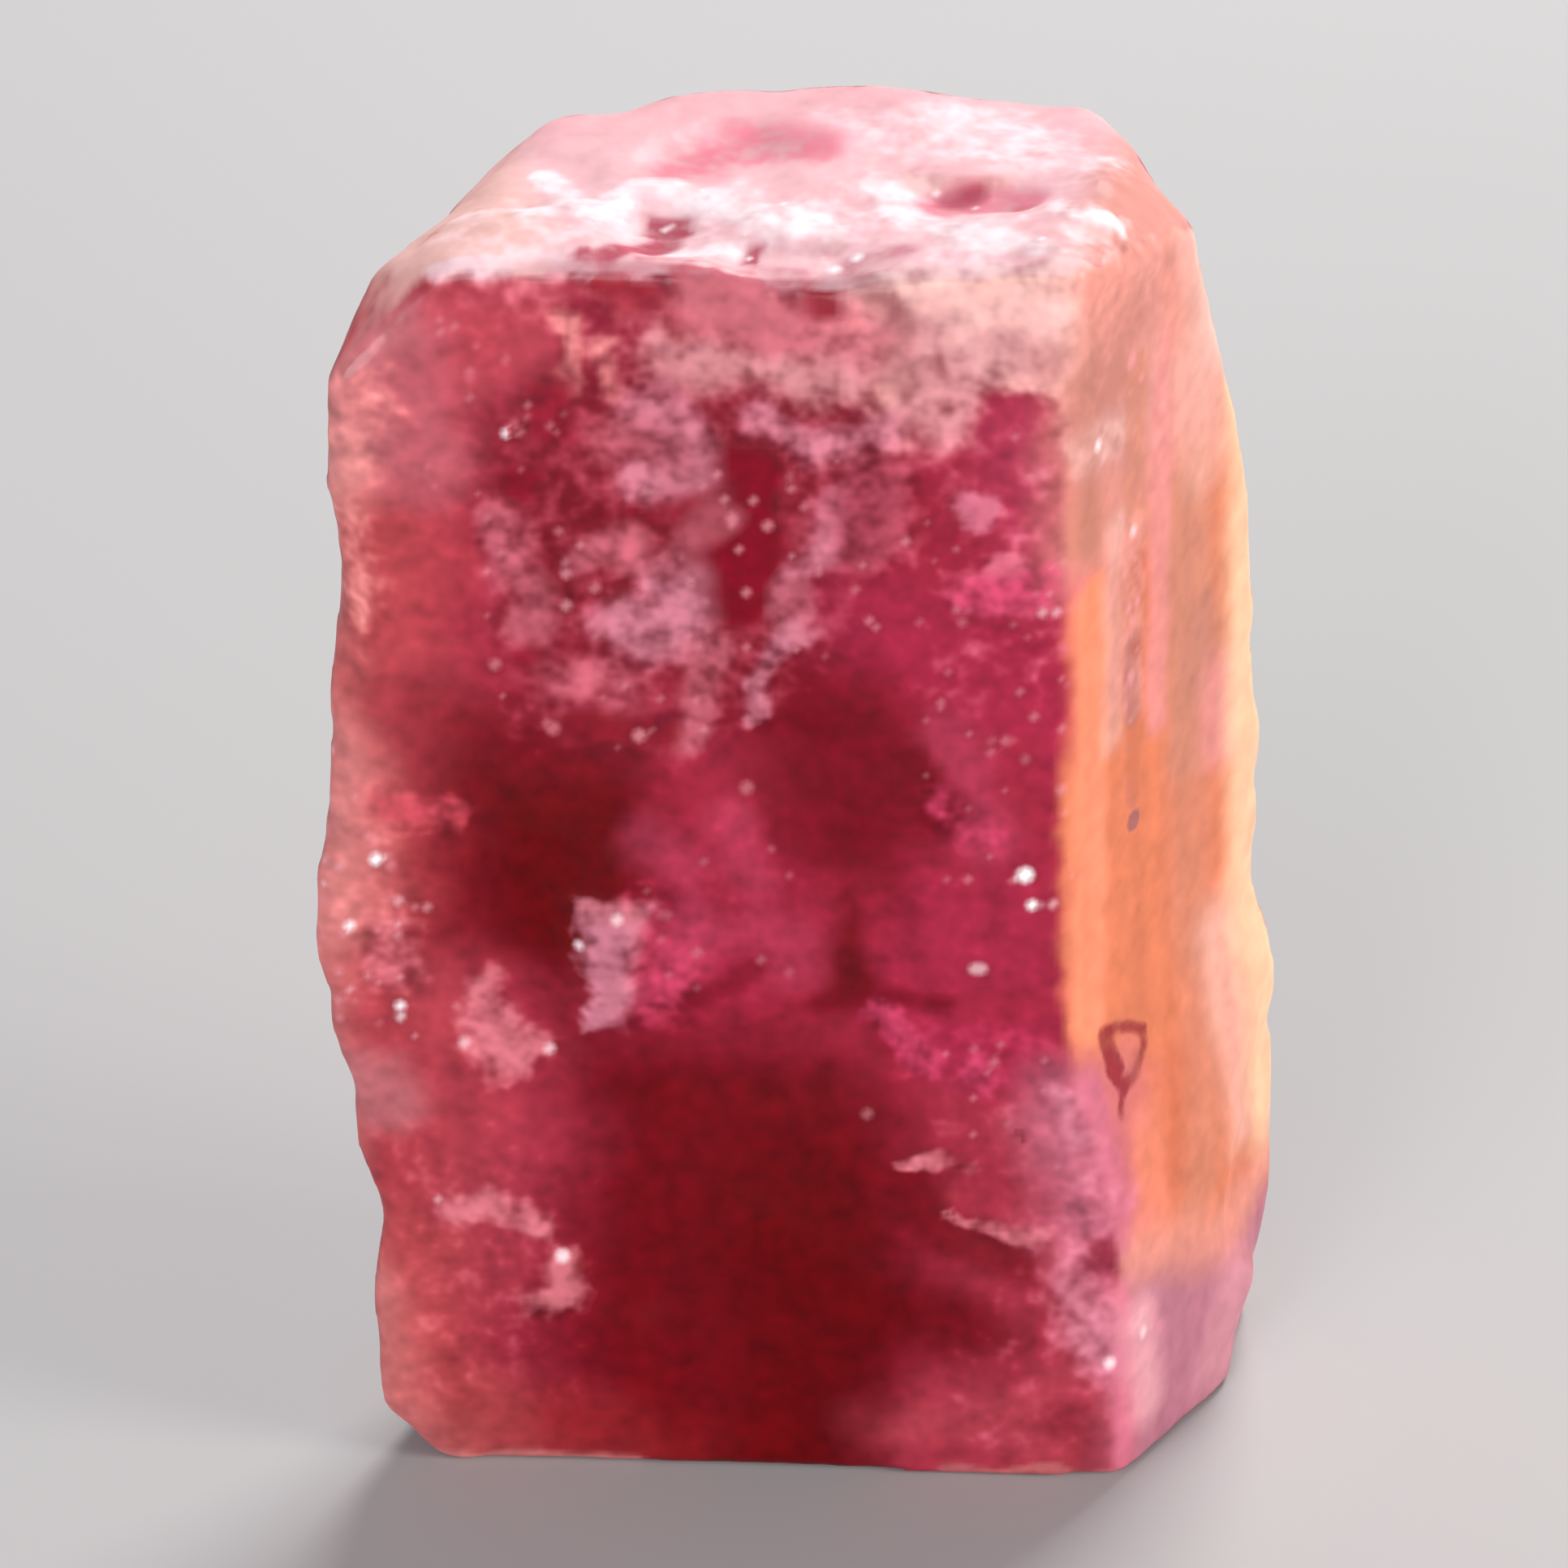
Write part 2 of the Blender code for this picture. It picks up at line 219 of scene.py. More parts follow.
# Broad stretches of colour: face, path, half width (0 fills the outline), soft edge, colour, strength.
STRETCHES = (
    # Down the left, salmon that pales at the edge, with duller rose in it and at the foot's right.
    ("left", [(-2.0, 6.0), (2.0, 6.0)], 7.0, 1.0, SALMON, 0.9),
    ("front", [(-4.2, 12.0), (-4.1, 0.0)], 0.4, 1.7, SALMON, 0.95),
    ("front", [(-4.1, 4.4), (-3.7, 3.4), (-3.6, 2.4)], 0.4, 1.4, DULL_ROSE, 0.75),
    ("front", [(-3.2, 7.7), (-3.0, 7.0)], 0.2, 0.5, DULL_ROSE, 0.6),
    ("front", [(2.2, 0.35), (2.8, 0.3)], 0.15, 0.4, DULL_ROSE, 0.7),
    ("front", [(-4.2, 12.0), (-4.1, 0.0)], 0.2, 0.5, PALE_SALMON, 0.5),
    ("front", [(-4.1, 11.2), (-4.0, 10.1)], 0.30, 0.6, PALE_SALMON, 1.0),
    ("front", [(-4.1, 6.9), (-4.1, 5.9)], 0.30, 0.7, PALE_SALMON, 0.6),
    ("front", [(-3.5, 11.6), (-3.35, 11.3)], 0.08, 0.3, PALE_SALMON, 0.8),
    ("front", [(-2.8, 4.8), (-2.4, 3.4), (-2.5, 2.4)], 0.3, 1.0, ROSE, 0.3),
    # The upper left, the middle and the right.
    ("front", [(-3.3, 11.7), (-1.9, 11.7), (-1.9, 10.8), (-2.8, 10.4), (-3.3, 10.6)], 0, 0.7, ROSE, 0.9),
    ("front", [(-3.4, 11.2), (-3.1, 10.1)], 0.15, 0.6, HAZE, 0.6),
    ("front", [(-2.6, 10.5), (-1.7, 11.0), (0.9, 10.6), (0.8, 8.5), (-0.2, 7.6), (-2.3, 8.2)],
     0, 1.0, WINE, 1.0),
    ("front", [(-0.2, 8.5), (1.0, 8.4), (1.3, 7.2), (1.0, 5.8), (-0.1, 6.0), (-0.4, 7.3)],
     0, 1.0, CRIMSON, 1.0),
    ("front", [(1.5, 10.6), (2.7, 10.8), (2.6, 8.6), (1.9, 8.8)], 0, 1.0, PINK, 0.85),
    ("front", [(0.5, 8.7), (1.5, 8.2), (2.2, 7.8)], 0.1, 0.8, BRIGHT_RASPBERRY, 0.7),
    # The dark hollow on the left and the raspberry glow right of it.
    ("front", [(-3.1, 7.7), (-2.3, 7.8), (-1.2, 7.3), (-1.0, 5.8), (-1.6, 4.8), (-3.1, 5.3)],
     0, 0.9, DEEP, 0.9),
    ("front", [(-2.6, 7.0), (-1.4, 6.9), (-1.2, 6.1), (-1.4, 5.75), (-1.8, 5.1), (-2.4, 5.3)],
     0, 0.6, DARKEST, 1.0),
    ("front", [(-1.2, 6.2), (-0.5, 6.6), (0.1, 6.2), (0.2, 5.3), (-0.5, 4.9), (-1.3, 4.8)],
     0, 0.6, BRIGHT_RASPBERRY, 0.3),
    ("front", [(-1.25, 6.45), (-1.0, 6.2), (-0.77, 5.95), (-0.8, 5.6), (-1.0, 5.2), (-1.2, 4.9)],
     0.06, 0.35, PINK, 0.5),
    ("front", [(-0.55, 6.6), (-0.37, 6.25), (-0.3, 6.05)], 0.05, 0.3, PINK, 0.5),
    ("front", [(-0.75, 5.45), (-0.42, 5.6), (-0.04, 5.45), (0.1, 5.15)], 0.06, 0.35, PINK, 0.45),
    ("front", [(-0.65, 6.0), (-0.55, 5.7)], 0.06, 0.2, CRIMSON, 0.5),
    ("front", [(-0.3, 5.15), (-0.8, 4.85), (-1.3, 4.65)], 0.03, 0.15, CRIMSON, 0.6),
    ("front", [(1.0, 6.3), (2.2, 6.1), (2.2, 4.9), (0.8, 4.9)], 0, 0.6, BRIGHT_RASPBERRY, 0.5),
    ("front", [(1.3, 7.5), (1.45, 7.0), (1.65, 6.5)], 0.05, 0.4, PINK, 0.6),
    ("front", [(1.0, 7.15), (1.2, 6.8)], 0.10, 0.3, CRIMSON, 1.0),
    ("front", [(0.5, 5.9), (0.2, 5.0), (0.15, 4.7), (0.8, 4.7)], 0, 0.35, DARKEST, 0.9),
    ("front", [(0.3, 4.8), (1.2, 4.83)], 0.03, 0.15, CRIMSON, 0.7),
    # Under the ledge: bright on the right, and the deep red heart of the lower half.
    ("front", [(0.6, 4.65), (2.2, 4.65), (2.3, 3.9), (1.3, 3.9)], 0, 0.4, BRIGHT_RASPBERRY, 0.9),
    ("front", [(1.2, 4.0), (2.8, 3.8), (2.9, 0.2), (0.9, 0.2), (1.2, 2.0)], 0, 1.0, ROSE, 0.3),
    ("front", [(-2.0, 4.5), (0.5, 4.4), (1.1, 3.5), (1.2, 2.2), (1.7, 1.5), (0.7, 1.0), (0.5, -0.6),
     (-1.0, -0.6), (-2.1, 1.2), (-1.8, 3.4)], 0, 1.2, DEEP, 1.0),
    ("front", [(0.0, 2.6), (0.3, 1.5), (0.1, 0.0)], 0.2, 0.9, DARKEST, 0.9),
    ("front", [(1.0, 2.9), (1.3, 2.45), (1.9, 2.25)], 0.06, 0.3, DEEP, 0.8),
    ("front", [(1.0, 1.85), (1.6, 1.8), (2.0, 1.4), (1.2, 1.2)], 0, 0.5, DEEP, 0.8),
    ("front", [(-3.6, 2.0), (-3.5, 0.8), (-2.9, 0.2)], 0.25, 0.8, SALMON, 0.9),
    ("front", [(-3.8, 1.8), (-3.6, 0.5), (-3.1, 0.0)], 0.12, 0.6, PALE_SALMON, 0.6),
    ("front", [(-3.6, 3.9), (-3.45, 3.7)], 0.10, 0.4, DULL_FROST, 0.45),
    ("front", [(-3.3, 1.0), (-2.3, 0.95), (-1.5, 0.5), (-0.8, -0.3), (-3.3, -0.3)], 0, 0.9, BRICK, 0.6),
    ("front", [(-1.9, 0.45), (-1.0, 0.1)], 0.05, 0.7, EMBER, 0.6),
    ("front", [(2.35, 3.8), (2.5, 3.1), (2.6, 2.5)], 0.15, 0.6, MAUVE, 0.85),
    ("front", [(0.6, 0.5), (1.2, 0.9), (1.9, 0.8), (2.5, 1.0), (2.6, 0.2), (0.9, 0.1)], 0, 0.8, ROSE, 0.5),
    ("front", [(0.9, 0.45), (1.7, 0.65), (2.4, 1.1)], 0.02, 0.25, ROSE, 0.4),
    ("front", [(2.35, 0.6), (2.6, 0.4)], 0.06, 0.3, WINE, 0.5),
    ("front", [(2.75, 1.7), (2.9, 1.0)], 0.10, 0.35, MAUVE, 0.9),
    ("front", [(2.9, 0.6), (2.9, 0.0)], 0.15, 0.35, DUSK, 0.8),
    ("front", [(-3.2, 0.05), (-1.4, 0.03)], 0.02, 0.10, PALE_SALMON, 0.7),
    ("front", [(1.4, 0.03), (2.8, 0.03)], 0.02, 0.10, PALE_SALMON, 0.5),
    ("front", [(2.52, 2.4), (2.8, 2.45), (2.8, 2.1), (2.55, 2.15)], 0, 0.2, RASPBERRY, 0.8),
    ("front", [(0.7, 12.0), (1.6, 11.7), (2.6, 11.5)], 0.3, 0.7, HAZE, 0.9),
    # Up the front's right edge the colour runs over into the side's.
    ("front", [(2.8, 12.0), (2.7, 10.4), (2.65, 9.4)], 0.20, 0.7, PEACH, 0.8),
    # The smooth side: paler above, a band of painted glow by its front edge, tan further in, cream and a
    # painted rim highlight at its far edge.
    ("side", [(-1.0, 14.0), (0.0, 9.4), (3.6, 9.2), (3.6, 14.0)], 0, 1.6, PEACH, 0.9),
    # Painted glow: a bright band by the side's front edge, and a weaker patch low down.
    ("side", [(0.3, 8.7), (0.33, 5.2), (0.3, 4.6)], 0.14, 0.2, ORANGE_GLOW, 1.0),
    ("side", [(0.85, 3.2), (0.7, 2.4)], 0.12, 0.3, ORANGE_GLOW, 0.5),
    ("side", [(0.15, 10.6), (0.2, 9.4)], 0.15, 0.3, TAN, 0.7),
    ("side", [(1.75, 8.8), (1.85, 8.0), (1.95, 6.5)], 0.22, 0.4, TAN, 1.0),
    ("side", [(1.9, 10.2), (2.1, 9.3)], 0.15, 0.5, CREAM, 0.35),
    ("side", [(1.45, 3.5), (1.3, 2.7)], 0.10, 0.35, AMBER, 0.7),
    ("side", [(2.05, 7.6), (2.05, 6.9)], 0.08, 0.3, BROWN, 0.6),
    ("side", [(1.35, 10.6), (1.35, 7.0)], 0.06, 0.2, PALE_SALMON, 0.8),
    ("side", [(1.9, 6.5), (1.95, 4.0), (1.5, 2.3)], 0.12, 0.4, TAN, 0.6),
    ("side", [(2.4, 6.9), (2.4, 6.3)], 0.1, 0.4, PALE_SALMON, 0.9),
    ("side", [(2.35, 4.4), (2.4, 2.5)], 0.10, 0.5, CREAM, 0.5),
    ("side", [(0.65, 9.2), (0.65, 7.2)], 0.06, 0.25, CREAM, 0.4),
    ("side", [(0.3, 0.3), (0.6, 0.4)], 0.1, 0.4, DUSK, 0.6),
    ("side", [(2.1, 11.6), (2.45, 10.5)], 0.20, 0.6, CREAM, 0.8),
    # Painted rim highlight down the side's far edge.
    ("side", [(2.5, 11.3), (2.85, 10.2), (2.9, 5.0), (3.05, 2.2)], 0.20, 0.45, RIM_HIGHLIGHT, 0.95),
    ("side", [(0.3, 2.1), (1.1, 1.85), (1.9, 1.5), (3.2, 1.7)], 0.10, 0.5, PEACH, 0.8),
    ("side", [(0.1, 3.9), (0.15, 3.2), (0.1, 2.4)], 0.12, 0.2, MAUVE, 0.8),
    ("side", [(0.3, 2.0), (1.1, 1.7), (1.9, 1.3), (3.8, 1.6), (3.8, -0.6), (0.2, -0.6), (0.55, 0.9),
     (0.35, 1.5)], 0, 0.6, FOOT_MAUVE, 1.0),
    ("side", [(0.1, 1.9), (0.3, 0.9), (0.2, 0.1)], 0.15, 0.15, MAUVE, 0.9),
    ("side", [(0.5, 1.5), (0.55, 1.05), (0.65, 0.6)], 0.06, 0.35, TOP_ROSE, 0.6),
    ("side", [(2.1, 0.9), (1.85, 0.4)], 0.1, 0.5, TOP_ROSE, 0.3),
    ("top", [(-3.5, 1.4), (3.0, 1.4)], 0.5, 0.8, TOP_ROSE, 0.5),
    ("top", [(-3.4, 1.5), (-2.7, -1.6)], 0.4, 0.6, CREAM, 0.8),
    ("top", [(2.75, -1.8), (3.1, 1.0)], 0.3, 0.5, TOP_RIGHT, 1.0),
)

# Veils, flecks and stains: face, path, half width (0 fills), soft edge, colour, how dense, height in mm.
VEILS = (
    # Frost that runs down from the top, thick on the right and thin on the left, with dark gaps.
    ("front", [(-3.2, 12.2), (-3.1, 11.6), (-2.0, 11.3), (-1.6, 10.9), (-0.9, 10.9), (0.1, 10.6),
     (0.9, 10.5), (1.4, 10.8), (2.3, 10.9), (2.7, 11.3), (2.7, 12.3)], 0, 0.6, HAZE, 0.5, 0.0),
    ("front", [(0.4, 12.2), (0.5, 11.0), (0.75, 10.5), (1.2, 10.5), (1.5, 10.9), (2.0, 11.0),
     (2.3, 10.7), (2.6, 9.9), (2.9, 9.7), (2.9, 12.3)], 0, 0.7, FROST, 1.15, 0.0),
    ("front", [(1.3, 11.6), (2.1, 11.6)], 0.30, 0.6, BRIGHT_FROST, 1.4, 0.0),
    ("front", [(0.3, 12.0), (2.2, 12.0)], 0.10, 0.25, CREAM, 1.0, 0.0),
    ("front", [(2.6, 11.9), (2.6, 10.6)], 0.10, 0.45, PEACH, 1.0, 0.0),
    ("front", [(1.0, 11.3), (1.3, 10.95), (1.2, 10.6)], 0.12, 0.4, DULL_FROST, 0.8, 0.0),
    ("front", [(1.7, 11.3), (2.0, 11.15)], 0.05, 0.3, DULL_FROST, 0.7, 0.0),
    ("front", [(2.2, 11.1), (2.5, 10.9), (2.6, 10.3)], 0.10, 0.35, BROWN, 0.45, 0.0),
    ("front", [(-3.0, 11.9), (-1.8, 12.05), (-0.2, 12.1)], 0.08, 0.2, BLOOM, 0.8, 0.0),
    ("front", [(-0.9, 11.05), (-0.4, 11.2), (0.3, 11.0)], 0.17, 0.35, DULL_FROST, 1.0, 0.0),
    ("front", [(-0.3, 11.5), (0.6, 11.3)], 0.10, 0.4, PALE, 0.8, 0.0),
    ("front", [(-1.86, 11.4), (-1.85, 10.8)], 0.03, 0.15, PALE_SALMON, 0.75, 0.0),
    ("front", [(-1.56, 11.2), (-1.5, 10.8)], 0.03, 0.15, PALE_SALMON, 0.6, 0.0),
    ("front", [(0.6, 11.78), (0.75, 11.69), (0.88, 11.46)], 0.04, 0.2, GREY, 0.8, 0.0),
    ("front", [(0.85, 11.15), (0.95, 10.95)], 0.04, 0.2, GREY, 0.6, 0.0),
    ("front", [(-0.07, 11.81), (0.43, 11.81), (0.40, 11.50), (0.0, 11.46)], 0, 0.15, STAIN, 1.1, -0.01),
    ("front", [(-1.60, 11.75), (-1.23, 11.72)], 0.04, 0.12, STAIN, 1.0, 0.0),
    ("front", [(-1.45, 11.58), (-1.0, 11.62), (-0.5, 11.6)], 0.05, 0.2, STAIN, 0.8, 0.0),
    ("front", [(-0.95, 11.75), (-0.80, 11.5), (-0.95, 11.35)], 0.05, 0.2, STAIN, 0.8, 0.0),
    ("front", [(-0.65, 11.65), (-0.2, 11.4)], 0.15, 0.35, HAZE, 1.3, 0.0),
    # A thin haze over the middle of the front, with dark gaps and denser clouds of tiny bubbles in it.
    ("front", [(-2.7, 10.9), (-1.0, 11.0), (0.8, 10.4), (0.6, 8.6), (-0.3, 7.5), (-0.9, 7.1),
     (-2.3, 7.4), (-2.7, 8.6)], 0, 0.6, DUSK, 0.45, 0.0),
    ("front", [(-2.0, 10.7), (-2.0, 10.4)], 0.1, 0.25, WINE, 0.9, 0.0),
    ("front", [(-2.25, 9.85)], 0.1, 0.25, CRIMSON, 0.9, 0.0),
    ("front", [(-1.93, 9.1), (-2.0, 8.8)], 0.06, 0.2, CRIMSON, 0.8, 0.0),
    ("front", [(-1.25, 9.55)], 0.08, 0.25, CRIMSON, 0.8, 0.0),
    ("front", [(-0.55, 8.9), (-0.5, 9.4), (-0.55, 9.9)], 0.22, 0.35, CRIMSON, 1.4, 0.0),
    ("front", [(-2.2, 8.15)], 0.1, 0.25, CRIMSON, 0.8, 0.0),
    ("front", [(-1.75, 7.5), (-1.1, 7.45)], 0.06, 0.25, DEEP, 0.8, 0.0),
    ("front", [(-1.22, 10.54), (-1.05, 10.42), (-0.88, 10.25), (-0.86, 10.0)],
     0.08, 0.35, LILAC, 0.85, 0.01),
    ("front", [(-1.4, 10.3), (-1.1, 10.15)], 0.15, 0.3, ASH, 0.6, 0.0),
    ("front", [(-1.3, 9.95), (-1.15, 9.88)], 0.05, 0.2, LILAC, 0.8, 0.0),
    ("front", [(-0.24, 10.51), (0.12, 10.26), (0.45, 10.3), (0.75, 10.5)], 0.04, 0.25, LILAC, 0.8, 0.01),
    ("front", [(-2.45, 9.48), (-2.33, 9.0), (-2.16, 8.7), (-2.1, 8.45), (-2.3, 8.48)],
     0.05, 0.3, ASH, 0.8, 0.01),
    ("front", [(-1.72, 9.15), (-1.35, 9.35), (-1.35, 9.1)], 0.07, 0.2, ASH, 0.85, 0.0),
    ("front", [(-0.97, 8.9), (-0.92, 8.7), (-1.0, 8.45), (-1.2, 8.35), (-1.35, 8.5)],
     0.08, 0.35, LILAC, 1.0, 0.01),
    ("front", [(-1.95, 7.9), (-1.6, 8.0), (-1.45, 7.85)], 0.06, 0.3, ASH, 0.6, 0.0),
    ("front", [(-0.74, 8.27), (-0.76, 7.86), (-0.87, 7.4)], 0.05, 0.2, ASH, 0.85, 0.0),
    ("front", [(-0.6, 9.6), (-0.85, 9.3), (-1.0, 9.1)], 0.05, 0.2, ASH, 0.7, 0.0),
    ("front", [(0.45, 9.75), (0.2, 9.3), (0.0, 8.9), (0.0, 8.5)], 0.03, 0.25, LILAC, 0.75, 0.01),
    ("front", [(0.03, 8.85), (0.0, 8.55)], 0.06, 0.15, ASH, 0.8, 0.01),
    ("front", [(0.0, 8.5), (-0.28, 7.96), (-0.30, 7.58)], 0.03, 0.12, LILAC, 0.8, 0.01),
    # Flecks and blobs down the right.
    ("front", [(0.9, 10.4), (2.4, 10.7), (2.5, 8.2), (1.2, 7.6)], 0, 0.6, MAUVE, 0.28, 0.0),
    ("front", [(1.51, 9.70)], 0.10, 0.15, MAUVE, 1.1, 0.01),
    ("front", [(2.01, 10.07)], 0.03, 0.12, PALE, 0.9, 0.0),
    ("front", [(0.7, 9.9), (0.65, 9.4)], 0.12, 0.4, DUSK, 1.0, 0.0),
    ("front", [(1.77, 9.15)], 0.09, 0.15, SMUDGE, 1.2, 0.0),
    ("front", [(1.5, 8.85), (2.05, 9.0)], 0.06, 0.25, HOT_PINK, 0.8, 0.0),
    ("front", [(2.50, 10.17)], 0.10, 0.3, BRIGHT_FROST, 0.95, 0.01),
    ("front", [(1.2, 7.9), (2.3, 7.9), (2.3, 5.1), (1.0, 5.1)], 0, 0.5, HOT_PINK, 0.1, 0.0),
    ("front", [(1.2, 6.9), (1.6, 6.5)], 0.04, 0.3, HOT_PINK, 0.45, 0.0),
    # The raspberry glow in the middle.
    ("front", [(-1.3, 6.3), (-0.5, 6.7), (0.1, 6.3), (0.2, 5.2), (-0.5, 4.8), (-1.35, 4.7)],
     0, 0.5, PINK, 0.12, 0.0),
    ("front", [(0.6, 4.7), (2.2, 4.6), (2.3, 4.0), (1.3, 3.9)], 0, 0.3, HOT_PINK, 0.3, 0.0),
    ("front", [(0.75, 4.67), (0.91, 4.4), (1.1, 4.22)], 0.05, 0.2, HOT_PINK, 0.85, 0.01),
    ("front", [(1.55, 4.19)], 0.08, 0.15, HOT_PINK, 0.9, 0.0),
    # Raised flakes and thin haze, on the left, by the dark hollow and low on the right.
    ("front", [(-3.67, 11.0), (-3.25, 11.0), (-3.3, 10.0), (-3.7, 9.95), (-4.2, 10.0), (-4.1, 10.9)],
     0, 0.35, PALE_SALMON, 0.5, 0.01),
    ("front", [(-3.9, 9.3), (-3.8, 8.6)], 0.15, 0.5, PALE_SALMON, 0.6, 0.0),
    ("front", [(-1.35, 5.55), (-1.05, 5.2), (-1.25, 4.75)], 0.08, 0.4, PINK, 0.75, 0.0),
    ("front", [(-1.88, 5.76), (-1.22, 5.72), (-1.38, 5.27), (-1.48, 4.5), (-1.78, 4.42), (-1.72, 5.40)],
     0, 0.3, LILAC, 1.2, 0.02),
    ("front", [(-1.75, 5.68), (-1.40, 5.66)], 0.03, 0.15, PALE, 0.6, 0.0),
    ("front", [(-2.73, 5.05), (-2.45, 5.0), (-2.33, 4.45), (-2.05, 4.3), (-2.2, 3.95), (-2.55, 3.9),
     (-2.83, 4.25)], 0, 0.35, PALE, 1.0, 0.02),
    ("front", [(-2.90, 2.63), (-2.61, 2.72), (-2.34, 2.62), (-2.14, 2.45)], 0.03, 0.2, PALE, 1.0, 0.02),
    ("front", [(-2.33, 1.74), (-2.1, 1.9), (-1.99, 2.23), (-1.81, 2.21), (-1.81, 1.63), (-2.25, 1.6)],
     0, 0.28, PALE, 1.3, 0.01),
    ("front", [(-3.5, 3.4), (-2.0, 3.0), (-2.0, 0.8), (-3.5, 0.6)], 0, 0.8, PALE, 0.25, 0.0),
    ("front", [(-4.1, 7.0), (-3.3, 6.9), (-3.1, 5.6), (-3.3, 5.2), (-4.1, 5.2)],
     0, 0.6, PALE_SALMON, 0.25, 0.01),
    ("front", [(-3.4, 6.7), (-2.9, 6.6)], 0.05, 0.2, ROSE, 0.8, 0.0),
    ("front", [(-3.4, 5.3), (-3.35, 5.0)], 0.12, 0.35, PALE, 0.7, 0.0),
    ("front", [(1.02, 3.17), (1.12, 3.2)], 0.04, 0.12, PALE, 0.95, 0.02),
    ("front", [(1.2, 3.22), (1.47, 3.17)], 0.02, 0.12, PALE, 0.7, 0.01),
    ("front", [(1.30, 2.71), (1.48, 2.59), (1.82, 2.48), (2.10, 2.44)], 0.02, 0.12, PALE, 0.85, 0.02),
    ("front", [(1.3, 3.9), (2.4, 3.9), (2.8, 2.0), (2.8, 0.3), (1.0, 0.3), (1.9, 2.2)],
     0, 0.6, MAUVE, 0.22, 0.0),
    ("front", [(2.15, 3.94), (2.5, 3.55)], 0.03, 0.2, LILAC, 0.7, 0.0),
    ("front", [(2.55, 3.3), (2.6, 2.4)], 0.08, 0.4, LILAC, 0.35, 0.0),
    ("front", [(1.97, 3.49)], 0.03, 0.07, STAIN, 1.0, 0.0),
    ("front", [(2.4, 1.9), (2.75, 1.3)], 0.08, 0.4, LILAC, 0.8, 0.0),
    # The side's dotted strip, grey spot and ring, and a pale fleck near its foot.
    ("side", [(0.1, 11.2), (0.2, 9.2), (1.2, 9.2), (1.2, 11.2)], 0, 0.5, GREY, 0.28, 0.0),
    ("side", [(0.15, 10.9), (0.2, 9.3)], 0.08, 0.2, BROWN, 0.55, 0.0),
    ("side", [(0.93, 10.6), (0.95, 9.2)], 0.10, 0.15, TAN, 0.8, 0.0),
    ("side", [(0.95, 9.0), (0.98, 7.3)], 0.12, 0.12, PEACH, 0.9, 0.0),
    ("side", [(0.98, 7.9), (1.0, 6.4)], 0.05, 0.15, GREY, 0.6, 0.0),
    ("side", [(1.6, 9.4), (1.9, 9.4), (1.9, 6.8), (1.7, 6.8)], 0, 0.4, GREY, 0.4, 0.0),
    ("side", [(1.0, 6.15)], 0.05, 0.1, GREY, 1.2, 0.0),
    ("side", [(0.43, 4.38), (0.7, 4.3), (1.0, 4.12), (0.97, 3.95), (0.79, 3.81), (0.61, 3.78),
     (0.47, 4.0), (0.43, 4.38)], 0.02, 0.11, STAIN, 1.0, 0.0),
    ("side", [(0.52, 4.3), (0.62, 3.95)], 0.03, 0.10, STAIN, 1.0, 0.0),
    ("side", [(0.58, 3.73), (0.5, 3.52)], 0.015, 0.08, STAIN, 0.95, 0.0),
    ("side", [(0.5, 1.5), (0.6, 1.4)], 0.03, 0.15, TOP_ROSE, 0.9, 0.0),
    # The top: broad white bloom with bright ridges, rose smudges, and small pink hollows darkened with
    # painted shade.
    ("top", [(-2.4, 0.3), (2.2, 0.3), (2.2, 1.6), (-2.4, 1.6)], 0, 0.6, TOP_ROSE, 0.45, 0.0),
    ("top", [(-2.5, -1.0), (-1.8, -0.9), (-0.7, -0.6), (0.1, -0.9), (0.9, -0.6), (1.5, -1.1),
     (2.0, -0.9)], 0.3, 0.6, BLOOM, 0.55, 0.0),
    ("top", [(0.3, 0.6), (1.8, 0.4)], 0.1, 0.5, BLOOM, 0.6, 0.0),
    ("top", [(0.4, -1.65), (2.1, -1.55)], 0.1, 0.3, BLOOM, 0.4, 0.0),
    ("top", [(-1.7, -1.65), (-0.1, -1.6)], 0.12, 0.25, PINK_AND_PIT_SHADE, 0.55, 0.0),
    ("top", [(-1.13, -0.13), (-0.76, 0.3), (-0.43, 0.5), (0.05, 0.4)], 0.08, 0.4, SMUDGE, 0.85, 0.0),
    ("top", [(-1.34, -0.85), (-1.25, -0.62), (-0.91, -0.57), (-0.87, -0.80), (-1.1, -0.95)],
     0, 0.15, PINK_AND_PIT_SHADE, 1.15, -0.02),
    ("top", [(-1.1, -1.0), (-1.35, -1.3), (-1.52, -1.45)], 0.06, 0.14, PINK_AND_PIT_SHADE, 1.0, -0.01),
    ("top", [(-1.7, -1.44)], 0.04, 0.1, PINK_AND_PIT_SHADE, 1.0, 0.0),
    ("top", [(-0.52, -1.12), (-0.30, -1.05), (-0.28, -1.34), (-0.47, -1.31)], 0, 0.15, PINK_AND_PIT_SHADE, 1.1, -0.02),
    # A hollow on the top in painted shade, darkest towards its back.
    ("top", [(1.15, -0.5), (1.3, -0.35), (1.5, -0.45), (1.8, -0.35)], 0.08, 0.3, SOFT_PIT_SHADE, 1.0, -0.02),
    ("top", [(1.22, -0.35), (1.45, -0.28)], 0.04, 0.15, PINK_AND_PIT_SHADE, 0.9, 0.0),
    ("top", [(1.8, -0.55)], 0.05, 0.15, PINK_AND_PIT_SHADE, 0.6, 0.0),
    ("top", [(1.3, 0.8), (2.3, 0.2)], 0.2, 0.5, BLOOM, 0.5, 0.0),
    ("top", [(0.47, -1.42), (0.9, -1.3)], 0.03, 0.2, PINK_AND_PIT_SHADE, 0.6, 0.0),
    ("top", [(-2.12, -0.03), (-1.89, -0.64), (-1.57, -0.57), (-1.36, -0.22)], 0.04, 0.15, WHITE, 1.0, 0.01),
